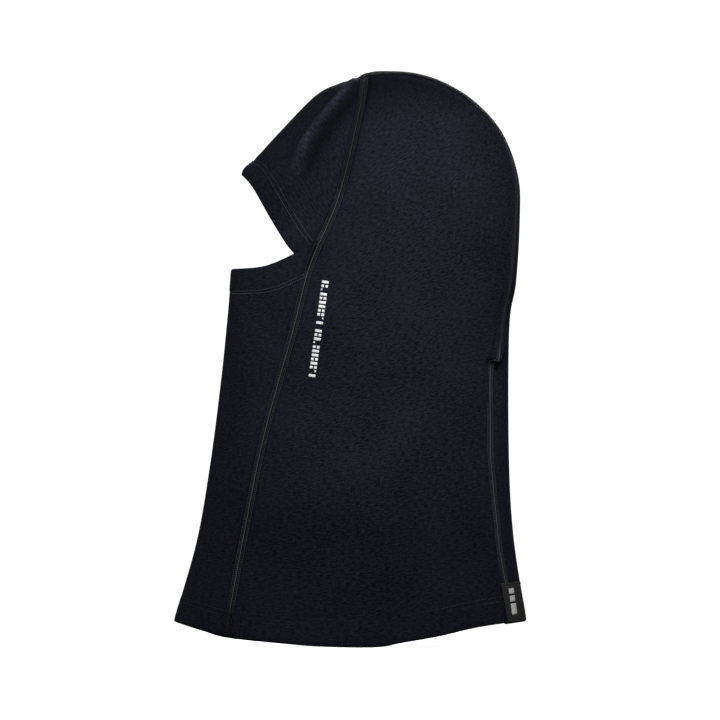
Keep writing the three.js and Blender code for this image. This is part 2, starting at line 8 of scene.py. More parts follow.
import bpy
import numpy as np
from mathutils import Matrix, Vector


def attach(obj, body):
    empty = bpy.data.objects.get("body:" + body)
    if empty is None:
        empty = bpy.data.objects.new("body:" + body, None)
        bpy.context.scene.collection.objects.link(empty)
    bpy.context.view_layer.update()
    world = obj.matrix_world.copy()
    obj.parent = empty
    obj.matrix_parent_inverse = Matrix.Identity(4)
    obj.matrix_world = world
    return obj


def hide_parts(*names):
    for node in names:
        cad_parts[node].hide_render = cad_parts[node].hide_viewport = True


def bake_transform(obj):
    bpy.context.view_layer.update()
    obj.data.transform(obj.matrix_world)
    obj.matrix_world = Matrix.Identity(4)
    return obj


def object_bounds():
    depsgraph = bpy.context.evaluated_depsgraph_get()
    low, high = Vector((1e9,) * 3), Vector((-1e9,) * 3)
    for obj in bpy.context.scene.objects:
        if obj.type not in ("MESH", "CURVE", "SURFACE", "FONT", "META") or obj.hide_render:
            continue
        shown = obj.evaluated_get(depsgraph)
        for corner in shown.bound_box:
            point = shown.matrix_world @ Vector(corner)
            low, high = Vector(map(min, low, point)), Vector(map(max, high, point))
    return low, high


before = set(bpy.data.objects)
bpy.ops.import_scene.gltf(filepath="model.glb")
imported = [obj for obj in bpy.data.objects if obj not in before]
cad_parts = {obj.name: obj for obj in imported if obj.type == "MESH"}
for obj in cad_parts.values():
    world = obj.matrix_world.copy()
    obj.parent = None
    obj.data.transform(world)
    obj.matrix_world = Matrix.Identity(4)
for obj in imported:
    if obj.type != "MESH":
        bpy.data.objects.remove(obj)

cad_low, cad_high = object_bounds()
DRAWN_HEIGHT = 368.1
METRES = (cad_high.z - cad_low.z) / DRAWN_HEIGHT  # one drawn millimetre, in metres

# ------------------------------------------------------------------ driving dimensions
SINGLE = 1.0  # one layer of knit
TURNED = 2.2  # a turned hem
RIBBON = 0.5  # the tab's ribbon
STITCH = 1.35  # pitch of every row of stitches
NEEDLE = 0.15  # radius of a needle thread
COVER = 0.08  # radius of a cover or looper thread
CORD = 0.26  # radius of the bunched thread along the middle of a flatlock seam
THREAD_SIDES = 6
GRID = 2.0  # spacing of the points on a sheet of knit
BOTTOM_ROWS = (13.4, 16.4)  # stitch rows above the bottom hem's edge
BROW_ROWS = (11.9, 14.7)
MASK_ROWS = (14.4, 16.2)
BROW_OVERLAP = 25  # length of seam along which the brow lies behind the lower front panel
HEAD_HALF_WIDTH = 56
DOME_BASE = 285


# ------------------------------------------------------------------ curves
def smooth_line(points, count=900):
    """A Catmull-Rom curve through the points, as a dense line."""
    p = np.array(points, float)
    last = len(p) - 1
    t = np.linspace(0, last, count)
    i = np.minimum(t.astype(int), last - 1)
    f = (t - i)[:, None]
    before, a, b, after = p[np.maximum(i - 1, 0)], p[i], p[i + 1], p[np.minimum(i + 2, last)]
    m0, m1 = (b - before) / 2, (after - a) / 2
    return (2 * a - 2 * b + m0 + m1) * f**3 + (-3 * a + 3 * b - 2 * m0 - m1) * f**2 + m0 * f + a


def run_lengths(points, axis):
    """Distance of each point from the first one, measured along an axis of a grid of points."""
    steps = np.linalg.norm(np.diff(points, axis=axis), axis=-1)
    zero = np.zeros_like(steps.take([0], axis=axis))
    return np.concatenate([zero, np.cumsum(steps, axis=axis)], axis=axis)


def length(line):
    return run_lengths(line, 0)[-1]


def shares(line):
    return run_lengths(line, 0) / length(line)


def at(line, share):
    """Points of a line at shares of its length."""
    place = shares(line)
    return np.stack([np.interp(share, place, line[:, k]) for k in range(line.shape[1])], axis=-1)


def level_on(line, y):
    """The height of a line of the side view over a depth."""
    return np.interp(y, line[:, 0], line[:, 1])


def depth_on(line, z):
    """The depth of a rising line of the side view at a level."""
    return np.interp(z, line[:, 1], line[:, 0])


def ease(x):
    x = np.clip(x, 0, 1)
    return x * x * (3 - 2 * x)


def fade(x, none, full):
    """0 where x is at none or beyond, 1 where it is at full or beyond, and eased between them."""
    return ease((x - none) / (full - none))


def bump(x, width):
    return np.exp(-((x / width) ** 2))


def mix(a, b, t):
    return a + (b - a) * t


def unit(vectors):
    return vectors / np.maximum(np.linalg.norm(vectors, axis=-1, keepdims=True), 1e-9)


HEM_FRONT, HEM_BACK = (-112.8, 16.5), (113, 17.5)
MASK_TIP, BROW_TIP = (-76, 240.7), (-69.4, 302)
THROAT, FOREHEAD = (-82.6, 170), (-22, 352.3)  # where the two moving panels fold away from the outline
CROWN, CROWN_SEAM = (21, 368), (10, 366.4)
TOP_CENTRE = (8.8, 365.9)  # where the brow and the back panel meet
outline = smooth_line(
    [
        (-117.5, 0), HEM_FRONT, (-98.4, 66), (-89.6, 116), THROAT, (-78.3, 212), MASK_TIP, (-74, 275),
        BROW_TIP, (-61, 311.3), (-45.5, 328.4), FOREHEAD, (-6.5, 360.2), (2, 362.3), CROWN_SEAM, CROWN,
        (42, 366.6), (62, 359.9), (81.3, 347.3), (98, 327.6), (107.8, 300), (108.7, 272), (106.4, 233),
        (102, 203), (101.7, 125), (104.7, 70), HEM_BACK, (117, 0),
    ],
    3000,
)
crown_index = int(outline[:, 1].argmax())
TOP = outline[crown_index, 1]
front_branch = outline[: crown_index + 1]
back_branch = outline[crown_index:][::-1]
hem_line = smooth_line(
    [
        (-125, 20), HEM_FRONT, (-94, 10.8), (-78.7, 6.6), (-46, 3.3), (-18, 1.2), (16, 0.7), (34, 3.6),
        (58, 7.8), (82, 13.2), HEM_BACK, (125, 19),
    ]
)


def hem_level(y):
    return np.maximum(0, level_on(hem_line, y))


def above_hem(points):
    return points[..., 2] - hem_level(points[..., 1])


front_seam = smooth_line(
    [
        (-79, hem_level(-79)), (-68, 68), (-56.2, 128), (-36.4, 201), (-25.3, 244), (-7.6, 285.5), (5.4, 338),
        (9.4, 364.2),
    ]
)
CORNER_SHARE = float(np.interp(260, front_seam[:, 1], shares(front_seam)))
CORNER = at(front_seam, CORNER_SHARE)
brow_corner_share = CORNER_SHARE - BROW_OVERLAP / length(front_seam)
brow_edge = smooth_line([BROW_TIP, (-62, 292.6), (-48.3, 269), tuple(at(front_seam, brow_corner_share))])
mask_edge = smooth_line([MASK_TIP, (-56, 242.3), (-38.4, 249.2), tuple(CORNER)])

# ------------------------------------------------------------------ the surface of the garment
WIDTHS = [
    (-5, 54), (20, 52), (70, 48.5), (150, 46), (215, 51), (DOME_BASE, HEAD_HALF_WIDTH),
    (DOME_BASE + 60, HEAD_HALF_WIDTH),
]
THINNEST = 1e-3  # least half depth and half width of a section, so that nothing is divided by zero
level_samples = np.linspace(-5, DOME_BASE, 600)
width_samples = np.zeros_like(level_samples)
for (z0, w0), (z1, w1) in zip(WIDTHS, WIDTHS[1:]):
    inside = (level_samples >= z0) & (level_samples <= z1)
    width_samples[inside] = mix(w0, w1, fade(level_samples[inside], z0, z1))


def half_width(z):
    dome = HEAD_HALF_WIDTH * np.sqrt(np.clip(1 - ((z - DOME_BASE) / (TOP - DOME_BASE)) ** 2, 0, 1))
    return np.where(z > DOME_BASE, dome, np.interp(z, level_samples, width_samples))


def ellipse(z):
    """Middle, half depth and half width of the garment's section at a level."""
    z = np.minimum(z, TOP)
    front = np.interp(z, np.maximum.accumulate(front_branch[:, 1]), front_branch[:, 0])
    back = np.interp(z, np.maximum.accumulate(back_branch[:, 1]), back_branch[:, 0])
    return (front + back) / 2, np.maximum((back - front) / 2, THINNEST), np.maximum(half_width(z), THINNEST)


def angle_at(y, z):
    """How far round the section a place lies: 0 at the front, pi at the back."""
    middle, half, _ = ellipse(z)
    return np.arccos(np.clip((middle - y) / half, -1, 1))


def surface(y, z):
    """Points on the wearer's left side over places of the side view, with their outward normals."""
    z = np.minimum(z, TOP)
    x = ellipse(z)[2] * np.sin(angle_at(y, z))
    low = np.minimum(z, TOP - 0.5)
    middle, half, width = ellipse(low)
    reach = 0.25  # the slope is measured between levels this far up and down

    def inside(level):
        m, h, w = ellipse(level)
        return (x / w) ** 2 + ((y - m) / h) ** 2

    slope = (inside(low + reach) - inside(low - reach)) / (2 * reach)
    normal = np.stack([2 * x / width**2, 2 * (y - middle) / half**2, slope], axis=-1)
    normal = np.where((z > TOP - 0.4)[..., None], np.array([0, 0, 1.0]), normal)
    return np.stack([x, y, z], axis=-1), unit(normal)


OVER = np.array([-1, 1, 1])  # carries a place on the wearer's left over to the right


def on_side(points, normals, side):
    """The left flank for side 1, the right one for -1, and both, joined across the middle, for 0."""
    if side == 1:
        return points, normals
    if side == -1:
        return points * OVER, normals * OVER
    return [np.concatenate([part, part[..., -2::-1, :] * OVER], axis=-2) for part in (points, normals)]


def on_left(points):
    """The same places, with those on the wearer's right carried over to the left."""
    return np.concatenate([np.abs(points[..., :1]), points[..., 1:]], axis=-1)


def outline_between(start, end):
    a = np.linalg.norm(outline - np.array(start), axis=1).argmin()
    b = np.linalg.norm(outline - np.array(end), axis=1).argmin()
    return outline[a : b + 1] if a < b else outline[b : a + 1][::-1]


# The back panel's half width, from the hem up the neck and over the crown, by share of its length.
BACK_WIDTHS = [
    (0, 21.6), (0.16, 21.8), (0.25, 22.9), (0.34, 22), (0.37, 20.8), (0.395, 20), (0.403, 19.4), (0.43, 16.6),
    (0.5, 15.6), (0.58, 14.9), (0.64, 13), (0.74, 10.8), (0.9, 9.8), (1, 10.8),
]
BACK_STEPS = 90
back_middle = outline_between(HEM_BACK, TOP_CENTRE)


def back_seam_place(share):
    """Where the back seam runs on the side view, found by halving, at a share of the back panel's length."""
    on = at(back_middle, share)
    along = at(back_middle, min(share + 0.01, 1)) - at(back_middle, max(share - 0.01, 0))
    inward = unit(np.array([-along[1], along[0]]))
    target = np.interp(share, *zip(*BACK_WIDTHS))
    near, far = 0.0, 40.0
    for _ in range(30):
        depth = (near + far) / 2
        place = on + inward * depth
        if surface(place[0], place[1])[0][0] < target:
            near = depth
        else:
            far = depth
    return on + inward * near


back_places = [tuple(back_seam_place(i / BACK_STEPS)) for i in range(BACK_STEPS)]
back_places[0] = (back_places[0][0], float(hem_level(back_places[0][0])))
back_seam = smooth_line(back_places + [tuple(front_seam[-1])])


# ------------------------------------------------------------------ relief of the knit
def on_surface(line):
    return surface(line[:, 0], line[:, 1])[0]


def distance(points, line):
    """Distance of each point from a line of points in space, measured to the nearest stretch of it."""
    flat = points.reshape(-1, 3)
    result = np.empty(len(flat))
    batch = 4000
    every = 3  # the nearest of every third point is found first, then the stretches round it
    for first in range(0, len(flat), batch):
        part = flat[first : first + batch]
        near = np.linalg.norm(part[:, None] - line[None, ::every], axis=2).argmin(axis=1) * every
        best = np.full(len(part), np.inf)
        for offset in range(-every, every):
            start = np.clip(near + offset, 0, len(line) - 2)
            a = line[start]
            run = line[start + 1] - a
            t = ((part - a) * run).sum(1) / np.maximum((run * run).sum(1), 1e-9)
            foot = a + np.clip(t, 0, 1)[:, None] * run
            best = np.minimum(best, np.linalg.norm(part - foot, axis=1))
        result[first : first + batch] = best
    return result.reshape(points.shape[:-1])


front_seam_3d = on_surface(front_seam)
back_seam_3d = on_surface(back_seam)
brow_edge_3d = on_surface(brow_edge)
mask_edge_3d = on_surface(mask_edge)
# The soft fold that runs from the crown down the brow, from its foot up.
ridge = smooth_line([(2.5, 362), (-6.5, 352), (-15.6, 341.2), (-23.4, 331.4), (-30.6, 320), (-40, 296)], 400)
ridge_3d = on_surface(ridge)
# The lower edge of the fold at the nape, from the side panel over the back seam to the middle of the back.
TUCK = np.array([(82, 187), (89, 183.5), (94, 181.5), (97, 184), (99.5, 191), (101.8, 198)])

SEAM_HALF, SEAM_RISE, PUCKER = 2.2, 0.35, 0.3  # a seam's half width and height, and the dip beside it
HEM_SWELL, EDGE_DIP, ROW_DIP = 0.35, 0.25, 0.38
NECK_WAVE, HOOD_WAVE, HEM_FLARE = 0.9, 0.5, 0.35
TUCK_OVER, TUCK_UNDER = 1.8, 3.6
RIDGE_RISE, HOLLOW_BEFORE, HOLLOW_BEHIND = 2.2, 0.4, 1.8
BROW_TUCKED = 3.0  # how far the brow lies behind the lower front panel


def above_tuck(points):
    return points[..., 2] - level_on(TUCK, points[..., 1])


def behind_ridge(points):
    return fade(points[..., 1] - depth_on(ridge[::-1], points[..., 2]), -1.5, 1.5)


def seam_relief(points):
    """The seams stand proud of the knit, with a shallow pucker on each side."""
    d = np.minimum(distance(points, front_seam_3d), distance(points, back_seam_3d))
    return SEAM_RISE * fade(d, SEAM_HALF + 1.6, SEAM_HALF) - PUCKER * bump(d - 2 * SEAM_HALF, 1.2)


def hem_relief(depth, rows):
    """A turned hem is a little thicker, drawn in along its edge and where its two rows of stitches run."""
    swell = HEM_SWELL * fade(depth, rows[1] + 3, rows[1])
    drawn_in = EDGE_DIP * bump(depth, 1.6) + ROW_DIP * sum(bump(depth - row, 0.8) for row in rows)
    return swell - drawn_in


def soft_folds(points):
    """Slow waves in the slack of the neck and the hood, away from the front and back."""
    x, y, z = points[..., 0], points[..., 1], points[..., 2]
    neck = NECK_WAVE * np.sin(y / 15 + 0.012 * z) * np.sin(z / 46 + 0.6) * fade(z, 240, 170)
    hood = HOOD_WAVE * np.sin(y / 23 + z / 41) * fade(z, 200, 260) * fade(z, 360, 330)
    return fade(x, 0, 24) * (neck + hood)


def tuck_relief(points):
    """At the nape the hood's end of the back panel hangs a little over the neck's end."""
    y, above = points[..., 1], above_tuck(points)
    over = TUCK_OVER * bump(above - 3, 4.5) * fade(above, -1, 0.5)
    under = TUCK_UNDER * fade(above, 0.8, -0.4) * fade(above, -38, -4)
    return fade(y, 86, 92) * fade(y, 101, 97) * (over - under)


def ridge_relief(points):
    """The fold down the brow, with a wide hollow behind it and a slight one before it."""
    z = points[..., 2]
    d = distance(points, ridge_3d)
    before, behind = HOLLOW_BEFORE * bump(d - 7, 3.5), HOLLOW_BEHIND * bump(d - 8, 5)
    hollow = mix(before, behind, behind_ridge(points)) * fade(z, 356, 346)
    return fade(z, 290, 316) * (RIDGE_RISE * bump(d, 2.8) * fade(z, 365, 360) - hollow)


def relief(points):
    """How far the knit stands off the plain surface, in millimetres."""
    left = on_left(points)
    bottom = above_hem(left)
    folds = seam_relief(left) + soft_folds(left) + tuck_relief(left)
    return folds + hem_relief(bottom, BOTTOM_ROWS) - HEM_FLARE * fade(bottom, 30, 0)


def brow_relief(points):
    """The brow also dips behind the corner of the lower front panel, and carries the ridge."""
    left = on_left(points)
    behind = fade(left[..., 2] - level_on(mask_edge, left[..., 1]), 10, -1)
    hem = hem_relief(distance(left, brow_edge_3d), BROW_ROWS)
    return relief(points) + ridge_relief(left) + hem - BROW_TUCKED * behind


def mask_relief(points):
    return relief(points) + hem_relief(distance(on_left(points), mask_edge_3d), MASK_ROWS)


# ------------------------------------------------------------------ painted light and shade on the cloth
def painted_cloth_light(points):
    """Painted light on the knit, 1 being plain: a painted highlight along the ridge, and painted shade in the
    hollow behind it, beside and under the front seam, at the mask's corner, under the fold at the nape,
    towards the crown and over the brow, and towards the bottom.
    """
    left = on_left(points)
    y, z = points[..., 1], points[..., 2]
    to_ridge, to_seam = distance(left, ridge_3d), distance(left, front_seam_3d)
    brow_side = fade(depth_on(front_seam, z) - y, 0, 3)
    above = above_tuck(points)

    # Painted highlight along the crest of the ridge, brightest and narrowest near the top.
    crest_highlight = mix(0.3, 3.6, fade(z, 308, 344)) * fade(z, 288, 304) * fade(z, 367, 363)
    crest_width = mix(4, 2, fade(z, 308, 338))
    # Painted shade in the hollow behind the ridge, beside the front seam on the hood's side, and in the band
    # under the seam's threads.
    hollow = bump(to_ridge - 10, 7) * behind_ridge(points) * brow_side * fade(z, 288, 318)
    seam_shade = bump(to_seam - 2.6, 2.6) * (1 - brow_side) * fade(z, 285, 305)
    shade_under_threads = fade(to_seam, 3.9, 2.4)
    # Painted shade by the mask's corner, and painted shadow under the fold at the nape.
    corner = bump(np.hypot(y - CORNER[0] + 3, z - CORNER[1] + 6), 9)
    tuck_shadow = fade(y, 91, 94) * fade(y, 101, 98) * fade(above, 2, 0) * fade(above, -9, 0)
    # Painted shade: deeper towards the crown and over the brow, where less light falls, and towards the
    # bottom.
    top = mix(0.45 * fade(z, 330, 364), 0.15 * fade(z, 262, 282), brow_side)
    foot = fade(z, 140, 60)
    # The tone is a plain 1 plus the painted highlight, less the painted shade.
    tone = 1 + crest_highlight * bump(to_ridge, crest_width) - 0.42 * hollow - 0.45 * seam_shade - 0.4 * shade_under_threads
    tone -= 0.35 * corner + 0.7 * tuck_shadow + top + 0.22 * foot
    return np.maximum(tone, 0.3)


def painted_thread_shade(points):
    """Painted shade on the threads: darker over the head, and along the bottom hem."""
    y, z = points[..., 1], points[..., 2]
    over_head = mix(fade(z, 275, 305), fade(z, 185, 197), fade(y, 60, 70))
    return mix(1, 0.3, over_head) * mix(0.25, 1, fade(above_hem(points), 15, 21))


# ------------------------------------------------------------------ meshes
def mesh_object(name, vertices, faces, material, uv=None, tone=None):
    """A piece from points in drawn millimetres, with a place in the knit for each, and a tone of painted
    light and shade for each.
    """
    data = bpy.data.meshes.new(name)
    data.from_pydata((np.asarray(vertices) * METRES).tolist(), [], faces)
    data.polygons.foreach_set("use_smooth", [True] * len(data.polygons))
    if uv is not None:
        layer = data.uv_layers.new(name="knit")
        corners = np.empty(len(data.loops), int)
        data.loops.foreach_get("vertex_index", corners)
        layer.data.foreach_set("uv", np.asarray(uv)[corners].astype(np.float32).ravel())
    # The tone attribute holds painted light and shade, 1 where none is painted.
    painted_light = data.attributes.new("tone", "FLOAT", "POINT")
    values = np.ones(len(vertices)) if tone is None else tone(np.asarray(vertices))
    painted_light.data.foreach_set("value", values.astype(np.float32))
    data.materials.append(material)
    data.validate()
    piece = bpy.data.objects.new(name, data)
    bpy.context.collection.objects.link(piece)
    return piece


def tie(piece, slot, *nodes, body="hood", bend=None):
    """Ties a piece to a body, or, where a bend is given, only fixes it where it stands; in either case it
    hides the CAD nodes it takes the place of.
    """
    if bend is None:
        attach(piece, body)
    else:
        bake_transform(piece)
    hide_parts(*nodes)


def cells(grid):
    """The four-sided faces between neighbouring rows and columns of a grid of vertex numbers."""
    low, high = grid[..., :-1, :], grid[..., 1:, :]
    corners = np.stack([low[..., :-1], low[..., 1:], high[..., 1:], high[..., :-1]], axis=-1)
    return corners.reshape(-1, 4).tolist()


def flipped(faces):
    return [face[::-1] for face in faces]


def weave(points):
    """Places in the weave of a flat ribbon, for a grid of its points."""
    return np.stack([run_lengths(points, 1), run_lengths(points, 0)], axis=-1)


def row_grid(starts, ends, columns, end_angle=None, bend=None):
    """Places of the side view in rows from starts to ends, evenly spaced round the garment."""
    start_angle = angle_at(starts[:, 0], starts[:, 1])[:, None]
    last = angle_at(ends[:, 0], ends[:, 1])[:, None] if end_angle is None else end_angle
    angle = mix(start_angle, last, np.linspace(0, 1, columns + 1)[None, :])
    share = (np.cos(start_angle) - np.cos(angle)) / (np.cos(start_angle) - np.cos(last))
    y = mix(starts[:, :1], ends[:, :1], share)
    z = mix(starts[:, 1:], ends[:, 1:], share)
    if bend is not None:
        z = z + bend(y, share)
    return y, z


def hem_bend(starts, ends, rises):
    """Carries straight rows down to the curved hem, fading out above it."""
    strength = (1 - np.clip(rises / 0.3, 0, 1)) ** 2
    first, last = hem_level(starts[:, :1]), hem_level(ends[:, :1])
    return lambda y, share: strength[:, None] * (hem_level(y) - mix(first, last, share))


def edge_bend(edge, strength):
    """Carries straight rows over to a curved edge, listed from its tip to its corner on the seam."""
    tip, corner = edge[0], edge[-1]

    def bend(y, share):
        level = level_on(edge, mix(corner[0], tip[0], share))
        return strength[:, None] * (level - mix(corner[1], tip[1], share))

    return bend


EDGE_TURN = (0.3, 0.7)  # shares of the thickness at which an edge has a row of its own
EDGE_BULGE = 0.42  # how far a rolled edge bulges, by thickness


def sheet(name, y, z, shape, thickness, side=1, rounded=(False, False)):
    """A sheet of knit over rows of places; rounded says whether its first and last rows are rolled edges."""
    points, normals = on_side(*surface(y, z), side)
    outer = points + normals * shape(points)[..., None]
    depth = thickness(points)[..., None]
    inner = outer - normals * depth
    rows, columns = outer.shape[:2]
    across = run_lengths(outer, 1)
    across = across - across[:, columns // 2 : columns // 2 + 1]
    along = np.repeat(run_lengths(outer, 0).mean(axis=1, keepdims=True), columns, axis=1)
    place = np.stack([across, along], axis=-1)

    def edge_rows(row, beyond, rolled):
        outward = unit(outer[row] - outer[beyond])
        bulges = [EDGE_BULGE * math.sin(math.pi * t) if rolled else 0 for t in EDGE_TURN]
        return [outer[row] + depth[row] * (outward * b - normals[row] * t) for t, b in zip(EDGE_TURN, bulges)]

    foot, top = edge_rows(0, 1, rounded[0]), edge_rows(-1, -2, rounded[1])
    # The rows in order round the sheet: inner edge, foot, outer face, top, and back down the inner face.
    loop = np.concatenate([inner[:1], foot[::-1], outer, top, inner[:0:-1]])
    order = [0, 0, 0, *range(rows), rows - 1, rows - 1, *range(rows - 1, 0, -1)]
    index = np.arange(len(loop) * columns).reshape(len(loop), columns)
    faces = cells(np.concatenate([index, index[:1]]))
    faces += end_faces(index[:, 0].tolist(), rows)
    faces += flipped(end_faces(index[:, -1].tolist(), rows))
    if side == -1:
        faces = flipped(faces)
    # The knit's tone attribute carries the painted light and shade.
    return mesh_object(name, loop.reshape(-1, 3), faces, knit, place[order].reshape(-1, 2), painted_cloth_light)


def end_faces(ring, rows):
    """Closes one end of a sheet. ring lists its vertices, in the order of the sheet's rows."""
    outer = ring[3 : rows + 3]
    inner = ring[:1] + ring[: rows + 4 : -1]
    between = [[outer[i + 1], outer[i], inner[i], inner[i + 1]] for i in range(rows - 1)]
    return [ring[3::-1], *between, ring[rows + 5 : rows + 1 : -1]]


def thick(distance_of, rows):
    """Thickness of a panel: two layers in the hem, one beyond its stitches."""
    return lambda points: mix(TURNED, SINGLE, fade(distance_of(points) - rows[1], 0.8, 3.3))


def from_edge(edge_3d):
    return lambda points: distance(on_left(points), edge_3d)


# ------------------------------------------------------------------ threads
def tubes(name, threads, material, tone=None):
    """Round threads as one piece, from (paths, normals, radius), where paths are many lines of points."""
    vertices, faces, places = [], [], []
    start = 0
    turn = np.arange(THREAD_SIDES) / THREAD_SIDES
    circle = 2 * math.pi * turn[:, None]
    for path, normal, radius in threads:
        along = unit(np.gradient(path, axis=-2))
        across = unit(np.cross(along, normal))
        up = np.cross(across, along)
        spokes = np.cos(circle) * across[..., None, :] + np.sin(circle) * up[..., None, :]
        ring = path[..., None, :] + radius * spokes
        vertices.append(ring.reshape(-1, 3))
        place = np.broadcast_arrays(run_lengths(path, 1)[..., None], turn)
        places.append(np.stack(place, axis=-1).reshape(-1, 2))
        index = start + np.arange(ring[..., 0].size).reshape(ring.shape[:3])
        faces += cells(np.concatenate([index, index[..., :1]], axis=-1))
        faces += index[:, 0, ::-1].tolist()
        faces += index[:, -1].tolist()
        start += index.size
    return mesh_object(name, np.concatenate(vertices), faces, material, np.concatenate(places), tone)


class Track:
    """A line of stitching over the knit: places with a surface, a normal and a direction across."""

    def __init__(self, line, shape, side=1):
        points, normals = on_side(*surface(line[:, 0], line[:, 1]), side)
        self.run = run_lengths(points, 0)
        self.points = points + normals * shape(points)[:, None]
        self.normals = normals
        self.mirror = -1 if side == -1 else 1
        self.across = unit(np.cross(unit(np.gradient(points, axis=0)), normals))

    def stitches(self):
        return int(self.run[-1] / STITCH)

    def place(self, run, offset, height):
        """Points at a distance run along, offset across and height over the knit, with their normals."""
        def read(values):
            return np.stack([np.interp(run, self.run, values[:, k]) for k in range(3)], axis=-1)

        normal = read(self.normals)
        offset = self.mirror * np.broadcast_to(offset, run.shape)[..., None]
        height = np.broadcast_to(height, run.shape)[..., None]
        return read(self.points) + read(self.across) * offset + normal * height, normal


# One needle stitch, as (share of pitch, lift): it rises out of the knit, runs along it and goes back in.
NEEDLE_STITCH = [(0.26, -0.3), (0.32, 0.08), (0.43, 0.18), (0.57, 0.18), (0.68, 0.08), (0.74, -0.3)]


def needle_rows(track, offsets, base=0.0, skip=0.0):
    """Rows of separate stitches, from a distance skip along the track."""
    share, lift = np.array(NEEDLE_STITCH).T
    run = (np.arange(int(skip / STITCH), track.stitches())[:, None] + share) * STITCH
    return [(*track.place(run, offset, base + lift), NEEDLE) for offset in offsets]


def zigzag(track, pattern, base, skip=0.0, outward=1):
    """One thread that wanders across the rows; pattern lists (share of pitch, offset across, lift)."""
    share, offset, lift = np.array(pattern).T
    run = (np.arange(int(skip / STITCH), track.stitches() - 1)[:, None] + share) * STITCH
    offset, lift = np.broadcast_to(offset, run.shape), np.broadcast_to(lift, run.shape)
    path, normal = track.place(run.ravel(), offset.ravel(), base + outward * lift.ravel())
    return path[None], normal[None], COVER


# ------------------------------------------------------------------ materials
class Nodes:
    """A material's node tree, built with short calls."""

    def __init__(self, name):
        self.material = bpy.data.materials.new(name)
        self.material.use_nodes = True
        self.tree = self.material.node_tree
        self.shader = self.tree.nodes["Principled BSDF"]

    def feed(self, socket, value):
        if isinstance(value, bpy.types.NodeSocket):
            self.tree.links.new(value, socket)
        else:
            socket.default_value = value

    def add(self, kind, **settings):
        node = self.tree.nodes.new(kind)
        for key, value in settings.items():
            if key in node.inputs:
                self.feed(node.inputs[key], value)
            else:
                setattr(node, key, value)
        return node

    def set(self, **inputs):
        """Feeds the shader; an underscore stands for a space in an input's name."""
        for name, value in inputs.items():
            self.feed(self.shader.inputs[name.replace("_", " ")], value)

    def maths(self, operation, a, b=0.0, c=0.0):
        node = self.add("ShaderNodeMath", operation=operation)
        for socket, value in zip(node.inputs, (a, b, c)):
            self.feed(socket, value)
        return node.outputs[0]

    def weigh(self, a, share_of_a, b, share_of_b):
        return self.maths("MULTIPLY_ADD", a, share_of_a, self.maths("MULTIPLY", b, share_of_b))

    def wave(self, value, wavelength, shift=0.0):
        return self.maths("SINE", self.maths("MULTIPLY_ADD", value, 2 * math.pi / wavelength, shift))

    def halved(self, value):
        """Carries -1 to 1 over to 0 to 1."""
        return self.maths("MULTIPLY_ADD", value, 0.5, 0.5)

    def ramp(self, value, *stops):
        node = self.add("ShaderNodeValToRGB")
        self.feed(node.inputs[0], value)
        elements = node.color_ramp.elements
        for element, (position, colour) in zip(elements, stops):
            element.position = position
            element.color = (*colour, 1)
        return node.outputs[0]

    def noise(self, scale, detail=2.0, roughness=0.5, vector=None):
        if vector is None:
            vector = self.add("ShaderNodeTexCoord").outputs["Object"]
        node = self.add("ShaderNodeTexNoise", Scale=scale, Detail=detail, Roughness=roughness, Vector=vector)
        return node.outputs[0]

    def bump(self, height, depth, strength, below=None):
        """A normal from a height pattern so many drawn millimetres deep, over another normal if given."""
        node = self.add("ShaderNodeBump", Distance=depth * METRES, Strength=strength, Height=height)
        if below is not None:
            self.feed(node.inputs["Normal"], below)
        return node.outputs[0]

    def with_painted_light(self, colour):
        """The colour, scaled by the piece's tone attribute: painted light and shade."""
        tone = self.add("ShaderNodeAttribute", attribute_name="tone").outputs["Fac"]
        return self.add("ShaderNodeVectorMath", operation="SCALE", Vector=colour, Scale=tone).outputs[0]

    def knit_place(self):
        place = self.add("ShaderNodeUVMap", uv_map="knit").outputs[0]
        split = self.add("ShaderNodeSeparateXYZ", Vector=place)
        return split.outputs[0], split.outputs[1]


WALE, COURSE = 0.95, 0.75  # width and height of one loop of the knit
STREAK_ACROSS, STREAK_UP = 0.32, 0.95  # streaks of uneven yarn per millimetre, along courses and wales
DEEP_NAVY, PALE_NAVY = (0.0026, 0.0029, 0.005), (0.0158, 0.0166, 0.0262)


def knit_material():
    """Fine plain knit, near-black navy: columns of V-shaped loops, a little fuzz and uneven dye."""
    m = Nodes("navy_knit")
    u, v = m.knit_place()
    column = m.maths("FRACT", m.maths("DIVIDE", u, WALE))
    from_middle = m.maths("ABSOLUTE", m.maths("SUBTRACT", column, 0.5))
    rounded = m.maths("SINE", m.maths("MULTIPLY", column, math.pi))
    slant = m.maths("MULTIPLY", from_middle, 1.1)
    course = m.maths("ADD", m.maths("DIVIDE", v, COURSE), slant)
    loops = m.halved(m.wave(course, 1))
    height = m.maths("MULTIPLY", rounded, m.maths("MULTIPLY_ADD", loops, 0.6, 0.4))
    fuzz = m.noise(1400, 3, 0.7)
    across, up = m.maths("MULTIPLY", u, STREAK_ACROSS), m.maths("MULTIPLY", v, STREAK_UP)
    streaks = m.noise(1, 3, 0.65, m.add("ShaderNodeCombineXYZ", X=across, Y=up).outputs[0])
    uneven = m.weigh(m.noise(22), 0.2, streaks, 0.8)
    tone = m.weigh(uneven, 0.8, m.weigh(height, 0.2, fuzz, 0.3), 0.5)
    # The knit's colour carries the painted light and shade of its tone attribute.
    m.set(Base_Color=m.with_painted_light(m.ramp(tone, (0.4, DEEP_NAVY), (0.63, PALE_NAVY))))
    m.set(Roughness=m.maths("MULTIPLY_ADD", fuzz, 0.15, 0.82))
    m.set(Specular_IOR_Level=0.05, Sheen_Weight=0.01, Sheen_Roughness=0.5, Sheen_Tint=(0.55, 0.6, 0.85, 1))
    m.set(Normal=m.bump(height, 0.16, 0.6, m.bump(fuzz, 0.12, 0.5)))
    return m.material


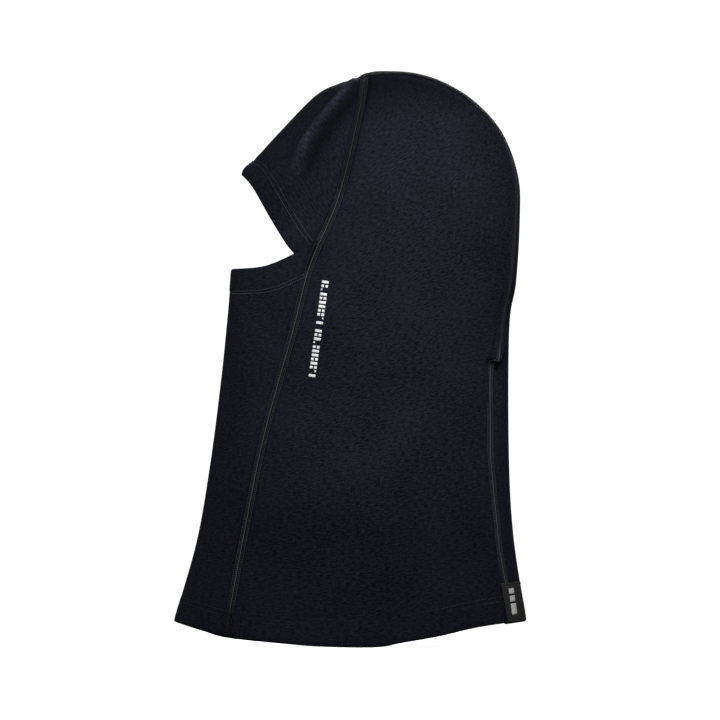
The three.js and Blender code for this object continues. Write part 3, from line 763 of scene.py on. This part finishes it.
def thread_material(name, low, high):
    """Twisted sewing thread, between two tones of grey."""
    m = Nodes(name)
    u, v = m.knit_place()
    strand = m.halved(m.wave(u, 0.5, m.maths("MULTIPLY", v, 2 * math.pi)))
    fuzz = m.noise(900, 2, 0.6)
    tint = np.array([1, 1.03, 1.15])
    colour = m.ramp(m.weigh(fuzz, 0.5, strand, 0.5), (0.2, tuple(low * tint)), (0.85, tuple(high * tint)))
    # The threads' colour carries the painted shade of their tone attribute.
    m.set(Base_Color=m.with_painted_light(colour), Roughness=m.maths("MULTIPLY_ADD", fuzz, 0.2, 0.5))
    m.set(Specular_IOR_Level=0.2, Normal=m.bump(strand, 0.08, 0.6))
    return m.material


def ribbon_material():
    """Near-black woven ribbon: a plain weave with a faint rib."""
    m = Nodes("woven_ribbon")
    u, v = m.knit_place()
    weave_height = m.halved(m.maths("MULTIPLY", m.wave(u, 0.45), m.wave(v, 0.6)))
    tone = m.weigh(m.noise(700, 2, 0.6), 0.4, weave_height, 0.6)
    m.set(Base_Color=m.ramp(tone, (0.2, (0.011, 0.011, 0.0105)), (0.8, (0.022, 0.021, 0.02))))
    m.set(Roughness=m.maths("MULTIPLY_ADD", weave_height, 0.2, 0.5), Specular_IOR_Level=0.2)
    m.set(Normal=m.bump(weave_height, 0.1, 0.6))
    return m.material


def satin_material():
    """White satin label ribbon, its weft floats shining across it."""
    m = Nodes("white_satin")
    _, v = m.knit_place()
    floats = m.halved(m.wave(v, 0.4))
    cloud = m.noise(160)
    tone = m.weigh(cloud, 0.5, floats, 0.5)
    m.set(Base_Color=m.ramp(tone, (0.2, (0.55, 0.55, 0.53)), (0.8, (0.74, 0.74, 0.72))))
    m.set(Roughness=m.maths("MULTIPLY_ADD", cloud, 0.2, 0.28), Sheen_Weight=0.1)
    m.set(Normal=m.bump(floats, 0.05, 0.4))
    return m.material


def ink_material(name, light, dark):
    """Pale print or woven mark, broken a little by the cloth under it."""
    m = Nodes(name)
    speckle = m.noise(1100, 3, 0.7)
    tone = m.weigh(speckle, 0.6, m.noise(120), 0.4)
    m.set(Base_Color=m.ramp(tone, (0.3, (dark,) * 3), (0.6, (light,) * 3)))
    m.set(Roughness=m.maths("MULTIPLY_ADD", speckle, 0.2, 0.5))
    m.set(Normal=m.bump(speckle, 0.05, 0.5))
    return m.material


def floor_material():
    """Pale floor; it throws less light back on the cloth than it shows, as a floor well below would."""
    m = Nodes("pale_floor")
    seen = m.add("ShaderNodeLightPath").outputs["Is Camera Ray"]
    shown = m.ramp(m.noise(3), (0.3, (0.93,) * 3), (0.7, (0.96,) * 3))
    mixed = m.add("ShaderNodeMix", data_type="RGBA", Factor=seen)
    mixed.inputs[6].default_value = (0.08, 0.08, 0.08, 1)
    m.feed(mixed.inputs[7], shown)
    m.set(Base_Color=mixed.outputs[2], Roughness=0.9, Specular_IOR_Level=0.05)
    m.set(Emission_Color=shown, Emission_Strength=seen)
    return m.material


knit = knit_material()
thread = thread_material("grey_thread", 0.035, 0.1)
navy_thread = thread_material("navy_thread", 0.006, 0.014)
ribbon = ribbon_material()
satin = satin_material()
ink = ink_material("transfer_ink", 0.86, 0.62)
woven_mark = ink_material("woven_mark", 0.5, 0.3)

# ------------------------------------------------------------------ panels
CROWN_SHARE = 0.9985  # just short of the point where the front and back seams meet, so that no row is empty
SIDE_COLUMNS, BACK_COLUMNS, FRONT_COLUMNS = 86, 13, 40


def evenly(total):
    return np.linspace(0, 1, int(total / GRID) + 1)


def side_panels():
    rises = evenly(length(front_seam))
    starts, ends = at(front_seam, rises * CROWN_SHARE), at(back_seam, rises * CROWN_SHARE)
    y, z = row_grid(starts, ends, SIDE_COLUMNS, bend=hem_bend(starts, ends, rises))
    for side, word in ((1, "left"), (-1, "right")):
        piece = sheet("side_cloth_" + word, y, z, relief, thick(above_hem, BOTTOM_ROWS), side, (True, False))
        tie(piece, "knit", "side_panel_" + word)


def back_panel():
    rises = evenly(length(front_seam))
    starts, ends = at(back_seam, rises * CROWN_SHARE), at(back_middle, rises)
    y, z = row_grid(starts, ends, BACK_COLUMNS, np.array([[math.pi]]), hem_bend(starts, ends, rises))
    piece = sheet("back_cloth", y, z, relief, thick(above_hem, BOTTOM_ROWS), 0, (True, False))
    tie(piece, "knit", "back_panel")


def across_fold(line, tip):
    """Start and end, in metres, of the bend of a panel that folds along a line: square from it to the tip."""
    a, b = np.array(line[0], float), np.array(line[1], float)
    along = unit(b - a)
    foot = a + along * np.dot(np.array(tip) - a, along)
    return Vector((0, *foot)) * METRES, Vector((0, *tip)) * METRES


mask_bend = across_fold((THROAT, CORNER), MASK_TIP)
brow_bend = across_fold((CORNER, FOREHEAD), BROW_TIP)


def lower_front_panel():
    middle = outline_between(HEM_FRONT, MASK_TIP)
    rises = evenly(length(middle))
    starts, ends = at(front_seam, rises * CORNER_SHARE), at(middle, rises)
    low, high = hem_bend(starts, ends, rises), edge_bend(mask_edge, rises**3)
    y, z = row_grid(starts, ends, FRONT_COLUMNS, 0.0, lambda y, share: low(y, share) + high(y, share))
    to_edge = from_edge(mask_edge_3d)

    def inside_hems(points):
        return np.minimum(above_hem(points), to_edge(points) + BOTTOM_ROWS[1] - MASK_ROWS[1])

    piece = sheet("lower_front_cloth", y, z, mask_relief, thick(inside_hems, BOTTOM_ROWS), 0, (True, True))
    tie(piece, "knit", "mask_panel", "throat_panel", body="mask", bend=mask_bend)


def brow_panel():
    middle = outline_between(BROW_TIP, TOP_CENTRE)
    rises = evenly(length(middle))
    starts, ends = at(front_seam, mix(brow_corner_share, CROWN_SHARE, rises)), at(middle, rises)
    y, z = row_grid(starts, ends, FRONT_COLUMNS, 0.0, edge_bend(brow_edge, (1 - rises) ** 3))
    thickness = thick(from_edge(brow_edge_3d), BROW_ROWS)
    piece = sheet("brow_cloth", y, z, brow_relief, thickness, 0, (True, False))
    tie(piece, "knit", "brow_panel", "brow_panel_crown", body="brow", bend=brow_bend)


# ------------------------------------------------------------------ seams
NEEDLES = (-2.1, -1.05, 1.35, 2.4)  # the four needle rows, across the seam
# Rungs of the cover thread run from the cord in the middle out over the rows: share of pitch, offset, lift.
COVER_PATTERN = [
    (0.0, 0, 0.12), (0.1, -1.1, 0.03), (0.2, -2.35, -0.05), (0.35, -2.35, -0.05), (0.45, -1.1, 0.03),
    (0.5, 0, 0.12), (0.62, 1.2, 0), (0.7, 2.5, -0.05), (0.82, 2.5, -0.05), (0.9, 1.2, 0),
]
SEAM_LOOPS = [
    (0.0, -2.6, 0.1), (0.15, -1.1, 0.25), (0.3, 0.9, 0.25), (0.45, 2.6, 0.1), (0.6, 0.9, 0.3),
    (0.8, -1.1, 0.3),
]
HEM_LOOPS = [(share, offset * 0.62, lift) for share, offset, lift in SEAM_LOOPS]
SEAM_ENDS = (0.002, 0.999)  # shares of a seam between which it is stitched
BACK_SEAM_ENDS = (0.002, 0.992)  # the back seam's stitches stop against the front seam's


def middle_cord(track):
    """The raised, wavering line of thread along the middle of a flatlock seam."""
    run = np.arange(0, track.run[-1], STITCH / 4)
    turn = run * 2 * math.pi / STITCH
    path, normal = track.place(run, 0.1 * np.sin(turn), 0.15 + 0.06 * np.cos(turn))
    return path[None], normal[None], CORD


def flatlock(name, line, side):
    """The outer and inner stitching of a flatlock seam, in place of its two CAD strips."""
    track = Track(line, relief, side)
    rows = needle_rows(track, NEEDLES) + [middle_cord(track)]
    # The outer threads carry painted shade over the head and along the bottom hem.
    outer = tubes(name + "_cover_thread", rows, thread, painted_thread_shade)
    rungs = tubes(name + "_cover_rungs", [zigzag(track, COVER_PATTERN, 0)], navy_thread)
    inside = needle_rows(track, NEEDLES, -SINGLE - 0.2, BOTTOM_ROWS[1])
    inside.append(zigzag(track, SEAM_LOOPS, -SINGLE - 0.1, BOTTOM_ROWS[1], -1))
    inner = tubes(name + "_looper_thread", inside, thread)
    tie(outer, "thread", name + "_cover")
    tie(rungs, "thread")
    tie(inner, "thread", name + "_looper")


def crown_line():
    """From the top of the front seam straight up to the middle of the crown."""
    y, z = row_grid(at(front_seam, [0.998]), np.array([TOP_CENTRE]), 12, 0.0)
    return np.stack([y[0], z[0]], axis=-1)


def seams():
    front = at(front_seam, np.linspace(*SEAM_ENDS, 700))
    back = at(back_seam, np.linspace(*BACK_SEAM_ENDS, 700))
    for side, word in ((1, "left"), (-1, "right")):
        flatlock("front_seam_" + word, front, side)
        flatlock("back_seam_" + word, back, side)
    flatlock("crown_seam", crown_line(), 0)


# ------------------------------------------------------------------ hems
BROW_IN, MASK_IN = np.array([0.84, 0.54]), np.array([0.3, -0.954])  # square to the edges, into the cloth
BROW_ROW_START, MASK_ROW_START = 0.87, 0.75  # shares of the edges beside which their rows meet the front seam


def ring(level_at, start_angle, end_angle, count):
    """Places at even angles round the garment, at levels that follow a rule of y."""
    angle = np.linspace(start_angle, end_angle, count)
    y = np.zeros(count)
    z = level_at(y)
    for _ in range(40):
        middle, half, _ = ellipse(z)
        y = middle - half * np.cos(angle)
        z = mix(z, level_at(y), 0.5)
    return np.stack([y, z], axis=-1)


def edge_track(edge, shift, start_share, shape):
    """A row along an edge of the face opening, moved into the cloth."""
    moved = edge + shift
    start = at(edge, start_share) + shift
    upward = moved[np.argsort(moved[:, 0])]
    half = ring(lambda y: level_on(upward, y), float(angle_at(start[0], start[1])), 0.0, 160)
    return Track(half, shape, 0)


def brow_track(depth):
    return edge_track(brow_edge, BROW_IN * depth, BROW_ROW_START, brow_relief)


def mask_track(depth):
    return edge_track(mask_edge, MASK_IN * depth, MASK_ROW_START, mask_relief)


def bottom_track(depth):
    return Track(ring(lambda y: hem_level(y) + depth, 0.0, math.pi, 500), relief, 0)


def coverstitch(name, track_at, rows, words, **tied):
    """A twin-needle hem: two rows of stitches outside and a looper thread zigzagging inside."""
    for depth, word in zip(rows, words):
        node = name + "_needle_" + word
        threads = needle_rows(track_at(depth), (0.0,), 0.02)
        # The needle threads carry painted shade over the head and along the bottom hem.
        tie(tubes(node + "_thread", threads, thread, painted_thread_shade), "thread", node, **tied)
    loops = zigzag(track_at(sum(rows) / 2), HEM_LOOPS, -TURNED - 0.1, 0, -1)
    tie(tubes(name + "_looper_thread", [loops], thread), "thread", name + "_looper", **tied)


def hems():
    coverstitch("brow_hem", brow_track, BROW_ROWS, ("outer", "inner"), body="brow", bend=brow_bend)
    coverstitch("mask_hem", mask_track, MASK_ROWS, ("outer", "inner"), body="mask", bend=mask_bend)
    coverstitch("bottom_hem", bottom_track, BOTTOM_ROWS, ("lower", "upper"))


# ------------------------------------------------------------------ labels and print
def patch(foot, top, rows, columns):
    """Places over a four-sided patch of the left side; foot and top are pairs of corners, front one first."""
    rise = np.linspace(0, 1, rows + 1)[:, None]
    starts = mix(np.array(foot[0], float), np.array(top[0], float), rise)
    ends = mix(np.array(foot[1], float), np.array(top[1], float), rise)
    return row_grid(starts, ends, columns)


def part_of(foot, top, low, high):
    """The foot and top of the part of a patch between two shares of its height."""
    foot, top = np.array(foot, float), np.array(top, float)
    return mix(foot, top, low), mix(foot, top, high)


def plates(name, parts, material):
    """Thin closed bodies, each between two equal grids of points: its face and its back."""
    vertices, places, faces = [], [], []
    start = 0
    for face, back in parts:
        rows, columns = face.shape[:2]
        grid = start + np.arange(rows * columns).reshape(rows, columns)
        under = rows * columns
        faces += cells(grid) + flipped(cells(grid + under))
        rim = np.concatenate([grid[0], grid[1:, -1], grid[-1, -2::-1], grid[-2:0:-1, 0]])
        after = np.roll(rim, -1)
        faces += np.stack([after, rim, rim + under, after + under], axis=-1).tolist()
        vertices += [face.reshape(-1, 3), back.reshape(-1, 3)]
        places += [weave((face + back) / 2).reshape(-1, 2)] * 2
        start += 2 * under
    return mesh_object(name, np.concatenate(vertices), faces, material, np.concatenate(places))


def ribbon_part(middle, outward, thickness):
    """The face and the back of a ribbon about its middle surface."""
    return middle + outward * thickness / 2, middle - outward * thickness / 2


TAB_LIFT = 1.3  # middle of the tab's outer leaf over the plain surface
TAB_DEPTH = TURNED + 0.5  # and of its inner leaf under it
TAB_ROWS = 20
TAB_FOOT = ((100.1, hem_level(100.1)), (111.4, hem_level(111.4)))
TAB_TOP = ((95.7, 40.2), (107.3, 41.3))
MARK_FOOT, MARK_TOP = ((102.6, 20), (105.7, 20.6)), ((100.2, 36.7), (103.3, 37.1))
MARK_BARS = ((0, 0.42), (0.5, 0.72), (0.8, 1))  # where the woven mark's plain bars lie along it


def hem_tab():
    """The ribbon folded round the hem: inner leaf, turn under the edge, outer leaf with its end turned in."""
    points, normals = surface(*patch(TAB_FOOT, TAB_TOP, TAB_ROWS, 16))
    rise = np.linspace(0, 1, TAB_ROWS + 1)[:, None, None]
    outer = points + normals * (TAB_LIFT + 0.25 * fade(rise, 0.93, 0.95))
    inner = points - normals * TAB_DEPTH
    radius = (TAB_LIFT + TAB_DEPTH) / 2
    down = unit(points[0] - points[1])
    turn = []
    for angle in np.linspace(math.pi, 0, 9)[1:-1]:
        across = TAB_LIFT - radius + radius * math.cos(angle)
        turn.append(points[0] + normals[0] * across + down * 0.65 * radius * math.sin(angle))
    middle = np.concatenate([inner[TAB_ROWS - 3 : 0 : -1], inner[:1], turn, outer])
    outward = unit(np.cross(np.gradient(middle, axis=1), np.gradient(middle, axis=0)))
    tie(plates("hem_tab_ribbon", [ribbon_part(middle, outward, RIBBON)], ribbon), "woven_ribbon", "hem_tab")


def tab_mark():
    """Pale bars woven into the tab."""
    parts = []
    for low, high in MARK_BARS:
        points, normals = surface(*patch(*part_of(MARK_FOOT, MARK_TOP, low, high), 8, 6))
        parts.append((points + normals * (TAB_LIFT + RIBBON / 2 + 0.18), points + normals * TAB_LIFT))
    tie(plates("hem_tab_mark", parts, woven_mark), "woven_ribbon")


def tab_stitches():
    y, z = patch(*part_of(TAB_FOOT, TAB_TOP, 0.9, 0.91), 1, 24)
    line = np.stack([y[0, 1:-1], z[0, 1:-1]], axis=-1)
    track = Track(line, lambda points: np.full(len(points), TAB_LIFT + RIBBON / 2))
    tie(tubes("hem_tab_stitches", needle_rows(track, (0,)), thread), "thread", "hem_tab_stitch")


# The print is a column of plain marks: a bar, a pair of short bars, a dot on either side, or nothing.
PRINT_TOP, PRINT_FOOT = np.array([-17.8, 233.8]), np.array([-26.6, 171.6])
PRINT_WIDTH = 4.3
# Each mark as (near, far, tall): its reach across the column, and how much of its pitch it fills.
MARKS = {
    "|": [(0, 1, 0.66)], ":": [(0, 0.4, 0.66), (0.6, 1, 0.66)], ".": [(0, 0.24, 0.4)], "'": [(0.76, 1, 0.4)],
    " ": [],
}
PRINT = "|:.|:||::'| |:|.:||:|:'|"


def printed_marks():
    run = PRINT_FOOT - PRINT_TOP
    pitch = run / len(PRINT)
    across = unit(np.array([-run[1], run[0]])) * PRINT_WIDTH
    parts = []
    for i, mark in enumerate(PRINT):
        for near, far, tall in MARKS[mark]:
            top = PRINT_TOP + pitch * i + across * np.array([[near], [far]])
            points, normals = surface(*patch(top + pitch * tall, top, 3, 5))
            on = points + normals * relief(points)[..., None]
            parts.append((on + normals * 0.1, on - normals * 0.05))
    tie(plates("print_marks", parts, ink), "transfer_ink", "printed_scale")


CARE_LENGTH, CARE_HALF_HEIGHT, CARE_CLEARANCE = 34, 11, 4.4
CARE_FOLD = 0.3  # half the space between the label's two leaves
SATIN = 0.22  # its ribbon


def care_frame():
    """Where the care label is sewn, with the directions along it, up, and out of it."""
    seat = at(back_seam, 0.17)
    ahead = seat[0] - CARE_LENGTH * 0.87
    (hinge, forward), (normal, _) = surface(np.array([seat[0], ahead]), np.full(2, seat[1]))
    along = unit((hinge - forward) * np.array([1, 1, 0]))
    up = np.array([0, 0, 1.0])
    return hinge - normal * CARE_CLEARANCE, along, up, np.cross(along, up)


def care_label():
    """A satin ribbon folded in two, its free end forward along the side panel."""
    origin, along, up, out = care_frame()
    reach = np.linspace(0.8, CARE_LENGTH, 18)
    near_leaf, far_leaf = [(x, CARE_FOLD) for x in reach], [(x, -CARE_FOLD) for x in reach[::-1]]
    x, off = np.array([*near_leaf, (CARE_LENGTH + CARE_FOLD, 0), *far_leaf]).T
    off = off + 0.8 * np.sin(math.pi * x / CARE_LENGTH)
    height = np.linspace(-CARE_HALF_HEIGHT, CARE_HALF_HEIGHT, 9)
    middle = (origin - along * x[:, None] + out * off[:, None])[:, None] + up * height[None, :, None]
    outward = unit(np.cross(np.gradient(middle, axis=1), np.gradient(middle, axis=0)))
    piece = plates("care_ribbon", [ribbon_part(middle, outward, SATIN)], satin)
    tie(piece, "satin_ribbon", "care_label", body="care_label")


def care_tack():
    """One thread winding up through the label's sewn end and the seam."""
    origin, along, up, out = care_frame()
    # One stitch as (reach along, rise, off to the side); the stitches start at even rises up the label.
    stitch = np.array([(0.6, 0, 0.55), (-0.5, 0.3, 0.3), (-0.5, 0.6, -0.3), (0.6, 0.9, -0.55)])
    starts = np.arange(1 - CARE_HALF_HEIGHT, CARE_HALF_HEIGHT - 1.5, 1.2)
    wound = (stitch + starts[:, None, None] * np.array([0, 1, 0])).reshape(-1, 3)
    path = origin + wound @ np.stack([-along, up, out])
    winding = (path[None], np.broadcast_to(out, path.shape)[None], COVER)
    tie(tubes("care_label_tack", [winding], thread), "thread", "care_label_stitch")


# ------------------------------------------------------------------ stage, light and camera
LIT_MIDDLE = (0, 0, 0.2)
KEY_POWER = 4.2
FLOOR_LEVEL = -0.0004
FLOOR_RADIUS = 2.5
FRAME_CENTRE = (6.4, 183.0)  # place of the side view in the middle of the picture
FRAME_SIDE = 460.8  # width of the picture at the middle of the garment
CAMERA_DISTANCE = 12.0


def area_light(name, location, size, power):
    data = bpy.data.lights.new(name, "AREA")
    data.shape = "DISK"
    data.size = size
    data.energy = power
    lamp = bpy.data.objects.new(name, data)
    lamp.location = location
    lamp.rotation_euler = (Vector(LIT_MIDDLE) - Vector(location)).to_track_quat("-Z", "Y").to_euler()
    lamp.visible_camera = False
    bpy.context.collection.objects.link(lamp)


def floor():
    count = 96
    turn = np.linspace(0, 2 * math.pi, count, endpoint=False)
    rim = np.stack([np.cos(turn), np.sin(turn), np.zeros(count)], axis=1) * FLOOR_RADIUS
    rim[:, 2] = FLOOR_LEVEL
    mesh_object("pale_floor", rim / METRES, [tuple(range(count))], floor_material())


def studio():
    world = bpy.data.worlds.new("studio")
    bpy.context.scene.world = world
    world.use_nodes = True
    tree = world.node_tree
    background = tree.nodes["Background"]
    path = tree.nodes.new("ShaderNodeLightPath")
    strength = tree.nodes.new("ShaderNodeMapRange")
    strength.inputs["To Min"].default_value = 0.05
    strength.inputs["To Max"].default_value = 1.1
    tree.links.new(path.outputs["Is Camera Ray"], strength.inputs["Value"])
    tree.links.new(strength.outputs[0], background.inputs["Strength"])
    background.inputs["Color"].default_value = (1, 1, 1, 1)
    for side, name in ((1, "left"), (-1, "right")):
        area_light(name + "_key", (0.53 * side, 0.11, 0.47), 0.42, KEY_POWER)
        area_light(name + "_front", (0.45 * side, -0.78, 0.3), 0.6, KEY_POWER * 0.3)
    area_light("back", (0, 1, 0.45), 0.8, KEY_POWER * 0.25)
    area_light("top", (0, 0, 1.5), 1.2, KEY_POWER * 0.03)
    bpy.context.scene.view_settings.view_transform = "Standard"


def camera():
    data = bpy.data.cameras.new("long_lens")
    data.sensor_width = 36
    data.lens = data.sensor_width * CAMERA_DISTANCE / (FRAME_SIDE * METRES)
    data.clip_end = 60
    eye = bpy.data.objects.new("long_lens", data)
    eye.location = (CAMERA_DISTANCE, FRAME_CENTRE[0] * METRES, FRAME_CENTRE[1] * METRES)
    eye.rotation_euler = (math.pi / 2, 0, math.pi / 2)
    bpy.context.collection.objects.link(eye)
    bpy.context.scene.camera = eye


side_panels()
back_panel()
lower_front_panel()
brow_panel()
seams()
hems()
hem_tab()
tab_mark()
tab_stitches()
printed_marks()
care_label()
care_tack()
floor()
studio()
camera()
